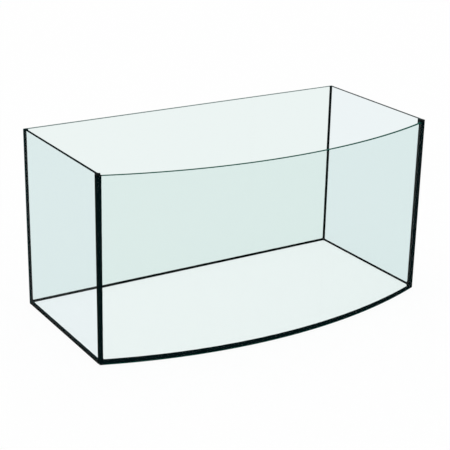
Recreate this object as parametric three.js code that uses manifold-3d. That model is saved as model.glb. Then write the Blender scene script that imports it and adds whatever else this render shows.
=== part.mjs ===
// Bow-front all-glass aquarium tank: five panes of glass held together by black silicone.
// Millimetres, +Z up. The origin is the middle of the underside, and the bowed front faces -Y.
//
// Each corner is built as a glazier builds it. A flat bond of silicone glues one pane to the next,
// and once that has set, a tooled bead is run inside the corner to seal it.
import * as THREE from 'three';
import { mergeVertices } from 'three/addons/utils/BufferGeometryUtils.js';
import Module from 'manifold-3d';

const wasm = await Module();
wasm.setup();

// ---- Driving dimensions ------------------------------------------------------------------------
const LENGTH = 800; // outside, left to right
const SIDE_DEPTH = 345; // outside, rear face to front corners
const BOW = 75; // how far the middle of the front stands out past its corners
const HEIGHT = 400; // underside to the rims of the side and rear panes
const FRONT_DROP = 4; // the bowed pane's rim stands this far below the others
const GLASS = 6; // thickness of every pane
const ARRIS = 0.6; // chamfer ground along every glass edge
const BOND = 1; // silicone between two panes, at its thinnest
const BEAD = 4; // leg of a tooled bead, along each of the two faces that it seals
const WIDE_BEAD_ON_FRONT = 8; // the front right bead is tooled wider: its leg on the bowed pane
const WIDE_BEAD_ON_SIDE = 11; // and its leg on the side pane
const BEAD_TO_RIM = 2; // the upright beads stop this far below the rim
const BEAD_GAP = 0.3; // an upright bead keeps this clear of the base beads that it stands on
const SEAT = 0.05; // silicone keeps this clear of the bowed pane, so their facets can't cross
const CAP = 8; // how far the front bonds are smeared over the lower rim of the bowed pane
const BEAD_HOLLOW = 0.35; // control point of a bead's tooled face, as a share of its legs
const BOW_SEGMENTS = 90; // facets along the bow
const BEAD_SEGMENTS = 6; // facets across a tooled face
const WELD = 1e-4; // vertices closer than this are one vertex

// ---- Plan geometry -----------------------------------------------------------------------------
const REAR_Y = (SIDE_DEPTH + BOW) / 2;
const CORNER_Y = REAR_Y - SIDE_DEPTH;

// The inner faces of the straight walls.
const INSIDE_X = LENGTH / 2 - GLASS;
const INSIDE_REAR_Y = REAR_Y - GLASS;

// The bow is one arc from corner to corner.
const BOW_RADIUS = ((LENGTH / 2) ** 2 + BOW ** 2) / (2 * BOW);
const BOW_CENTRE_Y = CORNER_Y - BOW + BOW_RADIUS;
const BOW_HALF_ANGLE = Math.asin(LENGTH / 2 / BOW_RADIUS);

// The bowed pane is cut square to its face. The side panes stop one bond behind its inner corners.
const SIDE_FRONT_Y = BOW_CENTRE_Y - (BOW_RADIUS - GLASS) * Math.cos(BOW_HALF_ANGLE) + BOND;
const SIDE_REAR_Y = INSIDE_REAR_Y - BOND;

const point = (x, y) => new THREE.Vector2(x, y);
const mirrored = (outline) => outline.map((p) => point(-p.x, p.y)).reverse();

function rectangle(x0, y0, x1, y1) {
  return [point(x0, y0), point(x1, y0), point(x1, y1), point(x0, y1)];
}

// The outer face of the bowed pane moved in by d, from left to right, halfAngle each way.
function bowArc(d, halfAngle) {
  const radius = BOW_RADIUS - d;
  const points = [];
  for (let i = 0; i <= BOW_SEGMENTS; i++) {
    const angle = THREE.MathUtils.lerp(-halfAngle, halfAngle, i / BOW_SEGMENTS);
    points.push(point(radius * Math.sin(angle), BOW_CENTRE_Y - radius * Math.cos(angle)));
  }
  return points;
}

// The same, but ending at x = -halfLength and x = halfLength.
function bowLine(d, halfLength) {
  return bowArc(d, Math.asin(halfLength / (BOW_RADIUS - d)));
}

// The line of each wall's inner face when it is moved in by d. The four follow on anticlockwise
// as seen from above, and meet in mitres.
const rearLeft = (d) => point(d - INSIDE_X, INSIDE_REAR_Y - d);
const rearRight = (d) => point(INSIDE_X - d, INSIDE_REAR_Y - d);
const frontLine = (d) => bowLine(GLASS + d, INSIDE_X - d);
const wallLine = {
  left: (d) => [rearLeft(d), frontLine(d).at(0)],
  front: frontLine,
  right: (d) => [frontLine(d).at(-1), rearRight(d)],
  rear: (d) => [rearRight(d), rearLeft(d)],
};

// ---- Glass -------------------------------------------------------------------------------------

// An outline with its sharp corners cut back by the arris. Corners of a round stretch stay.
function arrissed(outline) {
  const sharp = THREE.MathUtils.degToRad(30);
  return outline.flatMap((corner, i) => {
    const before = outline.at(i - 1).clone().sub(corner).normalize();
    const after = outline[(i + 1) % outline.length].clone().sub(corner).normalize();
    if (Math.PI - before.angleTo(after) < sharp) return [corner];
    return [before, after].map((way) => corner.clone().addScaledVector(way, ARRIS));
  });
}

// A pane with this plan outline, arrissed all round.
function pane(outline, height) {
  const geometry = new THREE.ExtrudeGeometry(new THREE.Shape(arrissed(outline)), {
    depth: height - 2 * ARRIS,
    bevelEnabled: true,
    bevelSegments: 1,
    bevelThickness: ARRIS,
    bevelSize: ARRIS,
    bevelOffset: -ARRIS,
  });
  return geometry.translate(0, 0, ARRIS);
}

function bowedPane() {
  const outside = bowArc(0, BOW_HALF_ANGLE);
  const inside = bowArc(GLASS, BOW_HALF_ANGLE).reverse();
  return pane([...outside, ...inside], HEIGHT - FRONT_DROP);
}

function rearPane() {
  return pane(rectangle(-LENGTH / 2, INSIDE_REAR_Y, LENGTH / 2, REAR_Y), HEIGHT);
}

// The side panes stand between the front and rear panes.
function sidePane() {
  return pane(rectangle(-GLASS / 2, SIDE_FRONT_Y, GLASS / 2, SIDE_REAR_Y), HEIGHT);
}

// The base lies inside all four walls, one bond in from each.
function basePane() {
  return pane([...wallLine.front(BOND), ...wallLine.rear(BOND)], GLASS);
}

// ---- Silicone ----------------------------------------------------------------------------------

// Runs a cross-section along a wall. It is drawn with x as the distance in from the wall's face
// and y as the height.
function runAlongWall(section, wall) {
  const runs = wallLine[wall](0).length - 1;
  const shape = new THREE.Shape(section);
  const geometry = new THREE.ExtrudeGeometry(shape, { depth: runs, steps: runs, bevelEnabled: false });
  const position = geometry.getAttribute('position');
  for (let i = 0; i < position.count; i++) {
    const place = wallLine[wall](position.getX(i))[Math.round(position.getZ(i))];
    position.setXYZ(i, place.x, place.y, position.getY(i));
  }
  geometry.computeVertexNormals();
  return geometry;
}

function upright(outline, bottom, top) {
  const geometry = new THREE.ExtrudeGeometry(new THREE.Shape(outline), {
    depth: top - bottom,
    bevelEnabled: false,
  });
  return geometry.translate(0, 0, bottom);
}

// The outline of a bead in a corner, with its legs drawn as vectors along the two faces that it
// seals. Its free face is hollow, as a fingertip leaves it.
function beadOutline(corner, firstLeg, secondLeg) {
  const onFirst = corner.clone().add(firstLeg);
  const onSecond = corner.clone().add(secondLeg);
  const pull = firstLeg.clone().add(secondLeg).multiplyScalar(BEAD_HOLLOW).add(corner);
  const tooled = new THREE.QuadraticBezierCurve(onFirst, pull, onSecond);
  return [corner, ...tooled.getPoints(BEAD_SEGMENTS)];
}

const clearOf = (wall) => (wall === 'front' ? SEAT : 0);

// The bond between the edge of the base and a wall.
function baseBond(wall) {
  return runAlongWall(rectangle(clearOf(wall), 0, BOND, GLASS), wall);
}

function baseBead(wall) {
  const outline = beadOutline(point(clearOf(wall), GLASS), point(BEAD, 0), point(0, BEAD));
  return runAlongWall(outline, wall);
}

function rearLeftBond() {
  return rectangle(-LENGTH / 2, SIDE_REAR_Y, -INSIDE_X, INSIDE_REAR_Y);
}

function rearLeftBead() {
  return beadOutline(rearLeft(0), point(0, -BEAD), point(BEAD, 0));
}

// Where the left side pane's inner face would meet the bowed pane.
const frontLeftCorner = bowLine(GLASS + SEAT, INSIDE_X)[0];

// The side pane is cut square and the bow meets it at a slant, so this bond is a wedge.
function frontLeftBond() {
  const seatEnd = bowArc(GLASS + SEAT, BOW_HALF_ANGLE)[0];
  const onPane = [point(-INSIDE_X, SIDE_FRONT_Y), point(-LENGTH / 2, SIDE_FRONT_Y)];
  return [...onPane, seatEnd, frontLeftCorner];
}

// Its top, where it also covers the end of the bowed pane's rim, level with the side pane's.
function frontLeftCap() {
  const onPane = [point(-INSIDE_X, SIDE_FRONT_Y), point(-LENGTH / 2, SIDE_FRONT_Y)];
  const capEnd = BOW_HALF_ANGLE - CAP / BOW_RADIUS;
  const overRim = [bowArc(0, BOW_HALF_ANGLE), bowArc(0, capEnd), bowArc(GLASS, capEnd)];
  return [...onPane, ...overRim.map((arc) => arc[0]), frontLeftCorner];
}

function frontLeftBead(onFront, onSide) {
  const slant = Math.asin(INSIDE_X / (BOW_RADIUS - GLASS - SEAT));
  const alongBow = point(onFront * Math.cos(slant), -onFront * Math.sin(slant));
  const alongSide = point(0, SIDE_FRONT_Y - frontLeftCorner.y + onSide);
  return beadOutline(frontLeftCorner, alongBow, alongSide);
}

// ---- Joining and cutting silicone --------------------------------------------------------------

function toSolid(geometry) {
  const bare = geometry.clone().deleteAttribute('normal').deleteAttribute('uv');
  const merged = mergeVertices(bare, WELD);
  return new wasm.Manifold(
    new wasm.Mesh({
      numProp: 3,
      vertProperties: new Float32Array(merged.attributes.position.array),
      triVerts: new Uint32Array(merged.index.array),
    }),
  );
}

function toGeometry(solid) {
  const mesh = solid.getMesh();
  const geometry = new THREE.BufferGeometry()
    .setAttribute('position', new THREE.BufferAttribute(mesh.vertProperties, 3))
    .setIndex(new THREE.BufferAttribute(mesh.triVerts, 1))
    .toNonIndexed();
  geometry.computeVertexNormals();
  return geometry;
}

function frontBond(bond, cap) {
  const capBottom = HEIGHT - FRONT_DROP + SEAT;
  return toGeometry(
    toSolid(upright(bond, 0, HEIGHT)).add(toSolid(upright(cap, capBottom, HEIGHT))),
  );
}

// A base bead grown by the gap, and some way into the wall and the base, so that it cuts cleanly.
function baseBeadCutter(wall) {
  const leg = BEAD + BEAD_GAP;
  const tooled = beadOutline(point(0, GLASS), point(leg, 0), point(0, leg)).slice(1);
  const buried = [point(-BOND, GLASS + leg), point(-BOND, GLASS - BOND), point(leg, GLASS - BOND)];
  return toSolid(runAlongWall([...tooled, ...buried], wall));
}

const walls = Object.keys(wallLine);
const baseBeadCutters = walls.map(baseBeadCutter);

function uprightBead(outline) {
  const whole = toSolid(upright(outline, GLASS, HEIGHT - BEAD_TO_RIM));
  return toGeometry(baseBeadCutters.reduce((bead, cutter) => bead.subtract(cutter), whole));
}

// ---- Materials ---------------------------------------------------------------------------------

function glass(color) {
  return new THREE.MeshStandardMaterial({
    color,
    roughness: 0.03,
    metalness: 0,
    transparent: true,
    opacity: 0.3,
  });
}

const floatGlass = glass(0xdcecea);
const bowedGlass = glass(0xd8ebe6);
const silicone = new THREE.MeshStandardMaterial({ color: 0x0b0e0e, roughness: 0.42, metalness: 0 });

// ---- Assembly ----------------------------------------------------------------------------------
const tank = new THREE.Group();

function add(name, geometry, material, x = 0) {
  const mesh = new THREE.Mesh(geometry, material);
  mesh.name = name;
  mesh.position.x = x;
  tank.add(mesh);
}

const SIDE_X = LENGTH / 2 - GLASS / 2;

add('front_bow_pane', bowedPane(), bowedGlass);
add('rear_pane', rearPane(), floatGlass);
add('base_pane', basePane(), floatGlass);
add('left_side_pane', sidePane(), floatGlass, -SIDE_X);
add('right_side_pane', sidePane(), floatGlass, SIDE_X);

add('front_left_bond', frontBond(frontLeftBond(), frontLeftCap()), silicone);
add('front_right_bond', frontBond(mirrored(frontLeftBond()), mirrored(frontLeftCap())), silicone);
add('rear_left_bond', upright(rearLeftBond(), 0, HEIGHT), silicone);
add('rear_right_bond', upright(mirrored(rearLeftBond()), 0, HEIGHT), silicone);

const wideBead = mirrored(frontLeftBead(WIDE_BEAD_ON_FRONT, WIDE_BEAD_ON_SIDE));
add('front_left_bead', uprightBead(frontLeftBead(BEAD, BEAD)), silicone);
add('front_right_bead', uprightBead(wideBead), silicone);
add('rear_left_bead', uprightBead(rearLeftBead()), silicone);
add('rear_right_bead', uprightBead(mirrored(rearLeftBead())), silicone);

for (const wall of walls) {
  add(`base_${wall}_bond`, baseBond(wall), silicone);
  add(`base_${wall}_bead`, baseBead(wall), silicone);
}

export default tank;
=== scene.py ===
# Looks for the bow-front glass aquarium tank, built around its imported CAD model.
# Metres, +Z up, in the CAD frame: the origin is the middle of the underside and the bow faces -Y.
import math

import bpy
from mathutils import Matrix, Vector, noise


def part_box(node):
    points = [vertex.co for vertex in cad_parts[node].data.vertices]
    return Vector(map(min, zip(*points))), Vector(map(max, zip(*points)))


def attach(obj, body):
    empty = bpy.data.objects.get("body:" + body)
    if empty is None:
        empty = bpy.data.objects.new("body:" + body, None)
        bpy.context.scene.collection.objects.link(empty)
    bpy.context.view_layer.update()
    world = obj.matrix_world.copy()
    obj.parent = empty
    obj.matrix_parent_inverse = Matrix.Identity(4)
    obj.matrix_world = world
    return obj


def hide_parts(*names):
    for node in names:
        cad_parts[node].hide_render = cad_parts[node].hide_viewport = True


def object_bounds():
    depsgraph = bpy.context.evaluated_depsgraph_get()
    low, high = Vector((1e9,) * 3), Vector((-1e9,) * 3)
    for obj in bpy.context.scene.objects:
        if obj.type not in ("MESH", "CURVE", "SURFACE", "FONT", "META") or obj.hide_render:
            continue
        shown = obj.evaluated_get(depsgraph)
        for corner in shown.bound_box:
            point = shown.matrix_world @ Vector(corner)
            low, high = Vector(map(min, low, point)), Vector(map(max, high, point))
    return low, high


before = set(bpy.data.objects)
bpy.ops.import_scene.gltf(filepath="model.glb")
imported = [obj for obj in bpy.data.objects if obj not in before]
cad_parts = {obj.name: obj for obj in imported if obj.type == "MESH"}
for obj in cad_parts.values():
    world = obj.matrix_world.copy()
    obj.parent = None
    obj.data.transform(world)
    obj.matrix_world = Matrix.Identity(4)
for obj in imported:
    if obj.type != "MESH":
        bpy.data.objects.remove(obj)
cad_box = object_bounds()

# ---- Sizes -------------------------------------------------------------------------------------
MM = 0.001

# The panes as packed give the tank's own sizes.
LOWEST, HIGHEST = (Vector(corner) for corner in cad_box)
REAR_LOW, REAR_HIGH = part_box("rear_pane")
HEIGHT = HIGHEST.z
FRONT_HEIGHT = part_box("front_bow_pane")[1].z
HALF_LENGTH = HIGHEST.x
GLASS = REAR_HIGH.y - REAR_LOW.y
INSIDE_X = HALF_LENGTH - GLASS
INSIDE_REAR_Y = REAR_LOW.y

# The bowed front is one arc, which stands this far out past its corners.
BOW = 75 * MM
BOW_RADIUS = (HALF_LENGTH**2 + BOW**2) / (2 * BOW)
BOW_CENTRE_Y = LOWEST.y + BOW_RADIUS
BOW_HALF_ANGLE = math.asin(HALF_LENGTH / BOW_RADIUS)
INSIDE_RADIUS = BOW_RADIUS - GLASS
BOW_SLANT = math.asin(INSIDE_X / INSIDE_RADIUS)  # between the bow and the rear pane, at a corner

ARRIS = 0.6 * MM  # chamfer ground along the panes' edges
EDGE_DEPTH = 0.95 * ARRIS  # a ground edge reaches this far in from the pane's end
BOND = 1 * MM  # silicone between two panes
BEAD = 4 * MM  # leg of a tooled bead
BEAD_TO_RIM = 2 * MM  # the upright beads stop this far below the side panes' rims
HOLLOW = 0.36  # how far a tooled face is pulled into its corner, as a share of its legs
CLEAR = 0.02 * MM  # new silicone keeps this far off the glass, so that no two faces coincide
POOL_REACH = 9 * MM  # the swelling at the foot of a corner dies out over this distance
TIP_SHARE = 0.55  # an upright bead's legs shrink to this share at its top end
TIP_RUN = 4 * MM  # and this share grows by one over this distance down from it

# Wandering of a hand-tooled bead's edge. Each bead reads its own line of the noise, and its second
# leg reads one halfway to the next bead's.
WOBBLE = 0.35 * MM
WANDER_GRAIN = 55.0  # noise cells per metre, as in every grain below
CONTACT_GRAIN = 70.0
LINE_GAP = 7.31  # between one bead's line of the noise and the next, in noise cells

BOW_STEPS = 480  # flats in the bowed pane, so many that what is seen through it isn't broken up
RING_GAP = 3 * MM  # between the cross-sections of a bead
TOOLED_STEPS = 10  # flats across a bead's tooled face
SHARP_ANGLE = math.radians(30)

# The upright beads are tooled by hand, and no two are alike. Each has its legs at the base and at
# the rim, first along the front or rear pane and then along the side pane.
UPRIGHT_LEGS = {
    "front_left": ((3.5 * MM, 5.9 * MM), (4.0 * MM, 6.2 * MM)),
    "front_right": ((8.0 * MM, 9.0 * MM), (12.0 * MM, 13.0 * MM)),
    "rear_left": ((BEAD, 3.4 * MM), (BEAD, 3.4 * MM)),
    "rear_right": ((BEAD, BEAD), (BEAD, BEAD)),
}

# How much the beads swell at the foot of each corner, where three of them meet.
POOLS = {
    "front_left": 1.6 * MM,
    "front_right": 4.0 * MM,
    "rear_left": 1.6 * MM,
    "rear_right": 1.6 * MM,
}

# How far the base beads climb each kind of wall pane, at the tank's left and right ends.
BASE_CLIMBS = {
    "front": (5.3 * MM, 4.4 * MM),
    "side": (5.5 * MM, 3.2 * MM),
    "rear": (BEAD, BEAD),
}

# ---- Optical values ----------------------------------------------------------------------------
WHITE = (1, 1, 1, 1)
GLASS_IOR = 1.52
TOTAL_MIRROR = 0.999  # above this Fresnel share, all the light is mirrored inside the glass

# Share of the plain Fresnel mirror that each kind of pane keeps. The studio here is white all round,
# and its full mirror image would wash out the glass and the silicone behind it.
SHINE = {"front": 0.05, "rear": 0.05, "side": 0.08, "base": 0.05}

# What the glass lets through of red, green and blue along a slanting path of this length, first for
# the front and rear panes, and then for the sides and the base.
PATH = 6.6 * MM
END_PANES = (0.844, 0.914, 0.900)
SIDE_PANES = (0.862, 0.918, 0.927)
BASE_PANE = (0.995, 0.998, 0.999)

# Black silicone as seen through the glass that it has wetted.
SILICONE_BEHIND = {
    "front": (0.0015, 0.0060, 0.0070),
    "rear": (0.0030, 0.0080, 0.0080),
    "side": (0.0035, 0.0140, 0.0145),
    "base": (0.0015, 0.0060, 0.0070),
}

# Painted light and shade for each pane's ground edges: the glass's green, made lighter or darker
# pane by pane for how light falls on each. The first colour is for the rim and foot, and the second
# is for the ends.
# The side panes' ends are hidden in silicone.
FRONT_EDGE_PAINTED_LIGHT = ((0.010, 0.080, 0.060), (0.004, 0.010, 0.010))
REAR_EDGE_PAINTED_LIGHT = ((0.160, 0.220, 0.210), (0.009, 0.032, 0.034))
LEFT_EDGE_PAINTED_LIGHT = ((0.004, 0.010, 0.010), None)
RIGHT_EDGE_PAINTED_LIGHT = ((0.075, 0.090, 0.090), None)
GRINDING_GRAIN = 90.0
GRINDING_MARKS = 0.3  # the marks darken and lighten an edge by this share

# The silicone's own surface: long drag marks from tooling, with a fine skin over them.
DRAG_GRAIN = 160.0
SKIN_GRAIN = 1800.0
SKIN_SHARE = 0.25
SKIN_RELIEF = 0.2 * MM
SKIN_STRENGTH = 0.3
SILICONE_ROUGHNESS = (0.55, 0.75)
SILICONE_DARKEST = (0.0016, 0.0026, 0.0026, 1)
SILICONE_LIGHTEST = (0.0042, 0.0065, 0.0062, 1)
SILICONE_SHINE = 0.03
SILICONE_SHINE_TINT = (0.6, 1.0, 1.0, 1.0)

# ---- Studio values -----------------------------------------------------------------------------
FLOOR_REACH = 60
FLOOR_DROP = 0.4 * MM  # below the tank, so that the two never coincide
FLOOR_COLOUR = (0.08, 0.08, 0.08, 1)
FLOOR_GLOW = 0.915
CAMERA_PLACE = Vector((-1.3802, -2.1511, 1.1360))
CAMERA_TARGET = Vector((0.0010, 0.0454, 0.1663))
CAMERA_ROLL = math.radians(1.18)
SENSOR = 36  # millimetres, as is the lens
LENS = 100.09
FARTHEST_SEEN = 200


# ---- Node helpers ------------------------------------------------------------------------------

def new_material(name):
    material = bpy.data.materials.new(name)
    material.use_nodes = True
    material.node_tree.nodes.clear()
    return material, material.node_tree


def add_node(tree, kind, **inputs):
    """A node with some of its inputs set to a value or fed by a socket."""
    made = tree.nodes.new(kind)
    for key, value in inputs.items():
        feed(tree, made.inputs[key.replace("_", " ")], value)
    return made


def feed(tree, socket, value):
    if isinstance(value, bpy.types.NodeSocket):
        tree.links.new(value, socket)
    else:
        socket.default_value = value


def calc(tree, operation, first, second=0.0):
    """The output of a Math node. Either value may be a number or a socket."""
    made = tree.nodes.new("ShaderNodeMath")
    made.operation = operation
    feed(tree, made.inputs[0], first)
    feed(tree, made.inputs[1], second)
    return made.outputs[0]


def mix_shaders(tree, factor, first, second):
    made = tree.nodes.new("ShaderNodeMixShader")
    feed(tree, made.inputs[0], factor)
    tree.links.new(first, made.inputs[1])
    tree.links.new(second, made.inputs[2])
    return made.outputs[0]


def mix_colours(tree, factor, first, second):
    """A Mix node set to colours has them in inputs 6 and 7, and the result in output 2."""
    made = tree.nodes.new("ShaderNodeMix")
    made.data_type = "RGBA"
    feed(tree, made.inputs[0], factor)
    made.inputs[6].default_value = first
    made.inputs[7].default_value = second
    return made.outputs[2]


def split(tree, vector):
    made = tree.nodes.new("ShaderNodeSeparateXYZ")
    tree.links.new(vector, made.inputs[0])
    return made.outputs


# ---- Glass -------------------------------------------------------------------------------------

def rim_height(kind):
    return FRONT_HEIGHT if kind == "front" else HEIGHT


def inner_distances(tree, position):
    """How far in a point is from the inner faces of the side, rear and front panes and the base."""
    x, y, z = split(tree, position)
    across = calc(tree, "SUBTRACT", y, BOW_CENTRE_Y)
    squares = calc(tree, "ADD", calc(tree, "MULTIPLY", x, x), calc(tree, "MULTIPLY", across, across))
    return {
        "side": calc(tree, "SUBTRACT", INSIDE_X, calc(tree, "ABSOLUTE", x)),
        "rear": calc(tree, "SUBTRACT", INSIDE_REAR_Y, y),
        "front": calc(tree, "SUBTRACT", INSIDE_RADIUS, calc(tree, "SQRT", squares)),
        "base": calc(tree, "SUBTRACT", z, GLASS),
    }


# For each kind of pane, the neighbours that silicone joins it to.
NEIGHBOURS = {
    "front": ("side", "base"),
    "rear": ("side", "base"),
    "side": ("front", "rear", "base"),
    "base": ("side", "rear", "front"),
}


def upright_reach(tree, end, on_side_pane, position):
    """How far the front or rear upright bead on this point's side reaches from its corner."""
    x, _, height = split(tree, position)
    slant = BOW_SLANT if end == "front" else 0.0
    reaches = []
    for side in ("left", "right"):
        at_base, at_rim = UPRIGHT_LEGS[f"{end}_{side}"][on_side_pane]
        climb = calc(tree, "MULTIPLY", height, (at_rim - at_base) * math.cos(slant) / HEIGHT)
        reaches.append(calc(tree, "ADD", climb, at_base * math.cos(slant)))
    on_right = calc(tree, "GREATER_THAN", x, 0.0)
    change = calc(tree, "SUBTRACT", reaches[1], reaches[0])
    return calc(tree, "ADD", reaches[0], calc(tree, "MULTIPLY", on_right, change))


def base_climb(tree, kind, position):
    """How far the base bead climbs this kind of wall pane."""
    at_left, at_right = BASE_CLIMBS[kind]
    slope = (at_right - at_left) / (2 * INSIDE_X)
    x = split(tree, position)[0]
    return calc(tree, "ADD", calc(tree, "MULTIPLY", x, slope), (at_left + at_right) / 2)


def silicone_contact(tree, kind, position):
    """1 where silicone has wetted this kind of pane, and 0 elsewhere. There the silicone takes all
    the light that reaches it from inside the glass, with no air between them to mirror it."""
    distances = inner_distances(tree, position)
    height = split(tree, position)[2]
    cells = add_node(
        tree, "ShaderNodeTexNoise", Vector=position, Scale=CONTACT_GRAIN, Detail=2.0
    )
    swing = calc(tree, "SUBTRACT", cells.outputs["Fac"], 0.5)
    wobble = calc(tree, "MULTIPLY", swing, 2 * WOBBLE)
    touching = 0.0
    for wall in NEIGHBOURS[kind]:
        if kind == "base":
            reach = BEAD
        elif wall == "base":
            reach = base_climb(tree, kind, position)
        elif kind == "side":
            reach = upright_reach(tree, wall, 1, position)
        else:
            reach = upright_reach(tree, kind, 0, position)
        near = calc(tree, "LESS_THAN", distances[wall], calc(tree, "ADD", wobble, reach))
        touching = calc(tree, "MAXIMUM", touching, near)
    # The front and rear panes are wetted on their inner faces, and the others at their ends too.
    depth = ARRIS if kind in ("front", "rear") else GLASS - ARRIS / 2
    not_outside = calc(tree, "GREATER_THAN", distances[kind], -depth)
    touching = calc(tree, "MULTIPLY", touching, not_outside)
    if kind == "base":
        return touching
    below_rim = calc(tree, "LESS_THAN", height, rim_height(kind) - ARRIS / 2)
    above_foot = calc(tree, "GREATER_THAN", height, ARRIS / 2)
    return calc(tree, "MULTIPLY", touching, calc(tree, "MULTIPLY", below_rim, above_foot))


def rim_or_foot(tree, kind, position):
    """1 on the ground edges along the top and bottom of a wall pane, and 0 elsewhere."""
    z = split(tree, position)[2]
    from_edge = calc(tree, "MINIMUM", z, calc(tree, "SUBTRACT", rim_height(kind), z))
    return calc(tree, "LESS_THAN", from_edge, EDGE_DEPTH)


def pane_ends(tree, kind, position):
    """1 on the ground ends that a front or rear pane leaves bare, and 0 elsewhere."""
    x, y, _ = split(tree, position)
    across = calc(tree, "ABSOLUTE", x)
    if kind == "rear":
        return calc(tree, "GREATER_THAN", across, HALF_LENGTH - EDGE_DEPTH)
    turned = calc(tree, "ARCTAN2", across, calc(tree, "SUBTRACT", BOW_CENTRE_Y, y))
    return calc(tree, "GREATER_THAN", turned, BOW_HALF_ANGLE - EDGE_DEPTH / BOW_RADIUS)


def painted_shade_over_upright(tree, kind, position):
    """1 where an upright bead lies against a front or rear pane. The rim above it gets painted
    shade.
    """
    inward = inner_distances(tree, position)["side"]
    return calc(tree, "LESS_THAN", inward, upright_reach(tree, kind, 0, position))


def painted_edge_light(tree, painted_colour, position):
    """A ground edge with its grinding marks, in a painted colour: the glass's green with painted
    light and shade.
    """
    marks = add_node(
        tree, "ShaderNodeTexNoise", Vector=position, Scale=GRINDING_GRAIN, Detail=2.0
    )
    dark = (*[(1 - GRINDING_MARKS) * c for c in painted_colour], 1)
    light = (*[(1 + GRINDING_MARKS) * c for c in painted_colour], 1)
    colour = mix_colours(tree, marks.outputs["Fac"], dark, light)
    return add_node(tree, "ShaderNodeBsdfDiffuse", Color=colour).outputs[0]


def glass_material(name, kind, passed, edges):
    """Float glass. passed is what one slanting path lets through, and edges is the painted light and
    shade given to its ground rim and foot, and then to its ground ends."""
    material, tree = new_material(name)
    geometry = add_node(tree, "ShaderNodeNewGeometry")

    bent = add_node(
        tree, "ShaderNodeBsdfRefraction", Color=WHITE, IOR=GLASS_IOR, Roughness=0.0
    )
    mirror = add_node(tree, "ShaderNodeBsdfGlossy", Color=WHITE, Roughness=0.0)
    fresnel = add_node(tree, "ShaderNodeFresnel", IOR=GLASS_IOR).outputs[0]
    total = calc(tree, "GREATER_THAN", fresnel, TOTAL_MIRROR)
    partial = calc(tree, "MULTIPLY", fresnel, SHINE[kind])
    clear = mix_shaders(
        tree, calc(tree, "MAXIMUM", total, partial), bent.outputs[0], mirror.outputs[0]
    )

    position = geometry.outputs["Position"]
    black = add_node(tree, "ShaderNodeBsdfDiffuse", Color=(*SILICONE_BEHIND[kind], 1))
    wetted = silicone_contact(tree, kind, position)
    seen = mix_shaders(tree, wetted, clear, black.outputs[0])
    if kind != "base":
        # The rims, feet and bare ends get painted light and shade in the glass's green, in place of
        # the light carried inside the glass.
        rim = painted_edge_light(tree, edges[0], position)
        if kind in ("front", "rear"):
            end = painted_edge_light(tree, edges[1], position)
            seen = mix_shaders(tree, pane_ends(tree, kind, position), seen, end)
            # Painted shade: the rim above an upright bead takes the darker colour of the ends.
            rim = mix_shaders(tree, painted_shade_over_upright(tree, kind, position), rim, end)
        seen = mix_shaders(tree, rim_or_foot(tree, kind, position), seen, rim)

    # Lamps and the floor's bounced light pass straight through.
    path = add_node(tree, "ShaderNodeLightPath")
    plain = add_node(tree, "ShaderNodeBsdfTransparent", Color=WHITE)
    lighting = calc(
        tree, "MAXIMUM", path.outputs["Is Shadow Ray"], path.outputs["Is Diffuse Ray"]
    )
    out = add_node(tree, "ShaderNodeOutputMaterial")
    tree.links.new(mix_shaders(tree, lighting, seen, plain.outputs[0]), out.inputs["Surface"])

    taken = [-math.log(share) / PATH for share in passed]
    density = max(taken)
    kept = (*[1 - t / density for t in taken], 1)
    volume = add_node(tree, "ShaderNodeVolumeAbsorption", Color=kept, Density=density)
    tree.links.new(volume.outputs[0], out.inputs["Volume"])
    return material


def set_material(obj, material):
    obj.data.materials.clear()
    obj.data.materials.append(material)


# ---- Silicone ----------------------------------------------------------------------------------

def silicone_material():
    """Black silicone, smoothed by hand: satin, with faint drag marks and a fine skin."""
    material, tree = new_material("black_silicone")
    geometry = add_node(tree, "ShaderNodeNewGeometry")
    position = geometry.outputs["Position"]
    drag = add_node(tree, "ShaderNodeTexNoise", Vector=position, Scale=DRAG_GRAIN, Detail=3.0)
    skin = add_node(tree, "ShaderNodeTexNoise", Vector=position, Scale=SKIN_GRAIN, Detail=2.0)
    smoothest, roughest = SILICONE_ROUGHNESS
    rough = add_node(
        tree, "ShaderNodeMapRange", Value=drag.outputs["Fac"], To_Min=smoothest, To_Max=roughest
    )
    relief = calc(tree, "MULTIPLY", skin.outputs["Fac"], SKIN_SHARE)
    height = calc(tree, "ADD", drag.outputs["Fac"], relief)
    bump = add_node(
        tree, "ShaderNodeBump", Strength=SKIN_STRENGTH, Distance=SKIN_RELIEF, Height=height
    )
    shader = add_node(
        tree,
        "ShaderNodeBsdfPrincipled",
        Base_Color=mix_colours(tree, drag.outputs["Fac"], SILICONE_DARKEST, SILICONE_LIGHTEST),
        Roughness=rough.outputs[0],
        Normal=bump.outputs[0],
        Specular_IOR_Level=SILICONE_SHINE,
        Specular_Tint=SILICONE_SHINE_TINT,
    )
    out = add_node(tree, "ShaderNodeOutputMaterial")
    tree.links.new(shader.outputs[0], out.inputs["Surface"])
    return material


# ---- Mesh helpers ------------------------------------------------------------------------------

def new_piece(name, points, faces, material):
    mesh = bpy.data.meshes.new(name)
    mesh.from_pydata(points, [], faces)
    mesh.validate()
    mesh.shade_smooth()
    mesh.set_sharp_from_angle(angle=SHARP_ANGLE)
    mesh.materials.append(material)
    piece = bpy.data.objects.new(name, mesh)
    bpy.context.scene.collection.objects.link(piece)
    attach(piece, "root")
    return piece


def skin_rings(rings):
    """Points and faces of the closed body that joins these equal rings and caps both ends. Each
    ring runs anticlockwise as seen from the last ring looking back at the first."""
    count = len(rings[0])
    points = [point for ring in rings for point in ring]
    faces = [tuple(reversed(range(count)))]
    for level in range(len(rings) - 1):
        low = level * count
        for i in range(count):
            j = (i + 1) % count
            faces.append((low + i, low + j, low + count + j, low + count + i))
    last = (len(rings) - 1) * count
    faces.append(tuple(last + i for i in range(count)))
    return points, faces


# ---- Bowed front pane --------------------------------------------------------------------------

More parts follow.
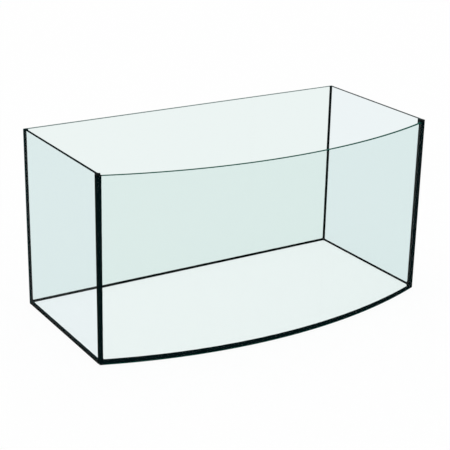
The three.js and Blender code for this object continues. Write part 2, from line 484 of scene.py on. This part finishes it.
def add_bowed_pane(material):
    """The same pane as the CAD's, with a far finer arc."""
    section = [
        (ARRIS, 0), (GLASS - ARRIS, 0), (GLASS, ARRIS), (GLASS, FRONT_HEIGHT - ARRIS),
        (GLASS - ARRIS, FRONT_HEIGHT), (ARRIS, FRONT_HEIGHT), (0, FRONT_HEIGHT - ARRIS), (0, ARRIS),
    ]
    rings = []
    for i in range(BOW_STEPS + 1):
        angle = BOW_HALF_ANGLE * (2 * i / BOW_STEPS - 1)
        ring = []
        for inward, z in section:
            radius = BOW_RADIUS - inward
            ring.append((radius * math.sin(angle), BOW_CENTRE_Y - radius * math.cos(angle), z))
        rings.append(ring)
    points, faces = skin_rings(rings)
    pane = new_piece("front_bow_glass", points, faces, material)
    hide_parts("front_bow_pane")


# ---- Tooled beads ------------------------------------------------------------------------------

def wander(line, along):
    """Smooth noise from about -1 to 1, this many metres along a bead."""
    return noise.noise(Vector((along * WANDER_GRAIN, line * LINE_GAP, 0.0)))


def pooled(corner_name, distance):
    """How much wider a bead is this far from the foot of a corner."""
    return POOLS[corner_name] * max(0.0, 1 - distance / POOL_REACH) ** 2


def bead_section(first_leg, second_leg):
    """The outline of a bead with legs of these lengths along x and y, as (x, y) from its corner."""
    outline = [(CLEAR, CLEAR)]
    for i in range(TOOLED_STEPS + 1):
        t = i / TOOLED_STEPS
        x = (1 - t) ** 2 * first_leg + 2 * t * (1 - t) * HOLLOW * first_leg
        y = t**2 * second_leg + 2 * t * (1 - t) * HOLLOW * second_leg
        outline.append((max(x, CLEAR), max(y, CLEAR)))
    return outline


def inside_point(wall, t, inward):
    """A plan point this far in from a wall's inner face, t of the way along it, with mitred ends."""
    x = INSIDE_X - inward
    rear = INSIDE_REAR_Y - inward
    radius = INSIDE_RADIUS - inward
    half_angle = math.asin(x / radius)
    front = BOW_CENTRE_Y - radius * math.cos(half_angle)
    if wall == "front":
        angle = half_angle * (2 * t - 1)
        return Vector((radius * math.sin(angle), BOW_CENTRE_Y - radius * math.cos(angle)))
    ends = {
        "right": ((x, front), (x, rear)),
        "rear": ((x, rear), (-x, rear)),
        "left": ((-x, rear), (-x, front)),
    }
    start, end = (Vector(p) for p in ends[wall])
    return start.lerp(end, t)


def climb_at(wall, x):
    """How far the base bead climbs a wall, this far along the tank from its middle."""
    at_left, at_right = BASE_CLIMBS.get(wall, BASE_CLIMBS["side"])
    return at_left + (at_right - at_left) * (x + INSIDE_X) / (2 * INSIDE_X)


# The corners that each wall runs from and to.
WALL_ENDS = {
    "left": ("rear_left", "front_left"),
    "front": ("front_left", "front_right"),
    "right": ("front_right", "rear_right"),
    "rear": ("rear_right", "rear_left"),
}


def add_base_bead(wall, line, material):
    """A bead along the foot of one wall, mitred into its neighbours at both ends."""
    length = (inside_point(wall, 1, 0) - inside_point(wall, 0, 0)).length
    steps = round(length / RING_GAP)
    rings = []
    for i in range(steps + 1):
        t = i / steps
        along = t * length
        pool = pooled(WALL_ENDS[wall][0], along) + pooled(WALL_ENDS[wall][1], length - along)
        # The wandering fades out towards the mitres, so that neighbouring beads meet there.
        fade = min(1.0, min(along, length - along) / (2 * BEAD))
        inward_leg = BEAD + pool + WOBBLE * fade * wander(line, along)
        climb = climb_at(wall, inside_point(wall, t, 0).x)
        upward_leg = climb + pool + WOBBLE * fade * wander(line + 0.5, along)
        ring = []
        for inward, up in bead_section(inward_leg, upward_leg):
            plan = inside_point(wall, t, inward)
            ring.append((plan.x, plan.y, GLASS + up))
        rings.append(ring)
    points, faces = skin_rings(rings)
    bead = new_piece(f"base_{wall}_tooled_bead", points, faces, material)
    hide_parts(f"base_{wall}_bead")


def add_upright_bead(corner_name, line, material):
    """A bead up one corner. The plan directions run from the corner along its two walls."""
    end, side = corner_name.split("_")
    sign = -1 if side == "left" else 1
    if end == "rear":
        corner = Vector((sign * INSIDE_X, INSIDE_REAR_Y))
        along_end = Vector((-sign, 0))
        along_side = Vector((0, -1))
    else:
        corner = inside_point("front", 0 if side == "left" else 1, 0)
        along_end = Vector((-sign * math.cos(BOW_SLANT), -math.sin(BOW_SLANT)))
        along_side = Vector((0, 1))
    bottom = GLASS + BOND
    top = HEIGHT - BEAD_TO_RIM
    steps = round((top - bottom) / RING_GAP)
    rings = []
    for i in range(steps + 1):
        z = bottom + (top - bottom) * i / steps
        pool = pooled(corner_name, z - GLASS)
        shrunk = min(1.0, TIP_SHARE + (top - z) / TIP_RUN)
        legs = []
        for which, (at_base, at_rim) in enumerate(UPRIGHT_LEGS[corner_name]):
            leg = at_base + (at_rim - at_base) * z / HEIGHT
            legs.append((leg + pool + WOBBLE * wander(line + 0.5 * which, z)) * shrunk)
        ring = []
        for first, second in bead_section(*legs):
            plan = corner + along_end * first + along_side * second
            ring.append((plan.x, plan.y, z))
        if (along_end.x * along_side.y - along_end.y * along_side.x) < 0:
            ring.reverse()
        rings.append(ring)
    points, faces = skin_rings(rings)
    bead = new_piece(f"{corner_name}_tooled_bead", points, faces, material)
    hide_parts(f"{corner_name}_bead")


# ---- Assembly ----------------------------------------------------------------------------------

PANES = {
    "rear_pane": glass_material("rear_float_glass", "rear", END_PANES, REAR_EDGE_PAINTED_LIGHT),
    "left_side_pane": glass_material("left_float_glass", "side", SIDE_PANES, LEFT_EDGE_PAINTED_LIGHT),
    "right_side_pane": glass_material("right_float_glass", "side", SIDE_PANES, RIGHT_EDGE_PAINTED_LIGHT),
    "base_pane": glass_material("base_float_glass", "base", BASE_PANE, None),
}
for pane_name, pane_glass in PANES.items():
    set_material(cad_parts[pane_name], pane_glass)
add_bowed_pane(glass_material("bent_float_glass", "front", END_PANES, FRONT_EDGE_PAINTED_LIGHT))

silicone = silicone_material()
for line, corner_name in enumerate(("front_left", "front_right", "rear_left", "rear_right"), 1):
    set_material(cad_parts[f"{corner_name}_bond"], silicone)
    add_upright_bead(corner_name, line, silicone)
for line, wall in enumerate(("front", "right", "rear", "left"), 5):
    set_material(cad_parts[f"base_{wall}_bond"], silicone)
    add_base_bead(wall, line, silicone)


# ---- Studio ------------------------------------------------------------------------------------

def add_floor():
    """A pale light table. Nearly all its light is its own glow, so shadows on it are faint."""
    mesh = bpy.data.meshes.new("floor")
    corners = [
        (-FLOOR_REACH, -FLOOR_REACH, 0), (FLOOR_REACH, -FLOOR_REACH, 0),
        (FLOOR_REACH, FLOOR_REACH, 0), (-FLOOR_REACH, FLOOR_REACH, 0),
    ]
    mesh.from_pydata(corners, [], [(0, 1, 2, 3)])
    floor = bpy.data.objects.new("floor", mesh)
    floor.location.z = -FLOOR_DROP
    bpy.context.scene.collection.objects.link(floor)
    material, tree = new_material("pale_floor")
    lit = add_node(tree, "ShaderNodeBsdfDiffuse", Color=FLOOR_COLOUR)
    glow = add_node(tree, "ShaderNodeEmission", Strength=FLOOR_GLOW)
    both = tree.nodes.new("ShaderNodeAddShader")
    tree.links.new(lit.outputs[0], both.inputs[0])
    tree.links.new(glow.outputs[0], both.inputs[1])
    out = add_node(tree, "ShaderNodeOutputMaterial")
    tree.links.new(both.outputs[0], out.inputs["Surface"])
    mesh.materials.append(material)


def add_world():
    """An evenly white studio."""
    world = bpy.data.worlds.new("studio")
    world.use_nodes = True
    background = world.node_tree.nodes["Background"]
    background.inputs["Color"].default_value = WHITE
    background.inputs["Strength"].default_value = 1.0
    bpy.context.scene.world = world


def add_camera():
    """A long lens, left of the front and above the rim."""
    data = bpy.data.cameras.new("camera")
    data.sensor_width = SENSOR
    data.lens = LENS
    data.clip_end = FARTHEST_SEEN
    camera = bpy.data.objects.new("camera", data)
    turn = (CAMERA_TARGET - CAMERA_PLACE).to_track_quat("-Z", "Y").to_matrix().to_4x4()
    roll = Matrix.Rotation(CAMERA_ROLL, 4, "Z")
    camera.matrix_world = Matrix.Translation(CAMERA_PLACE) @ turn @ roll
    bpy.context.scene.collection.objects.link(camera)
    bpy.context.scene.camera = camera


add_floor()
add_world()
add_camera()
bpy.context.scene.view_settings.view_transform = "Standard"
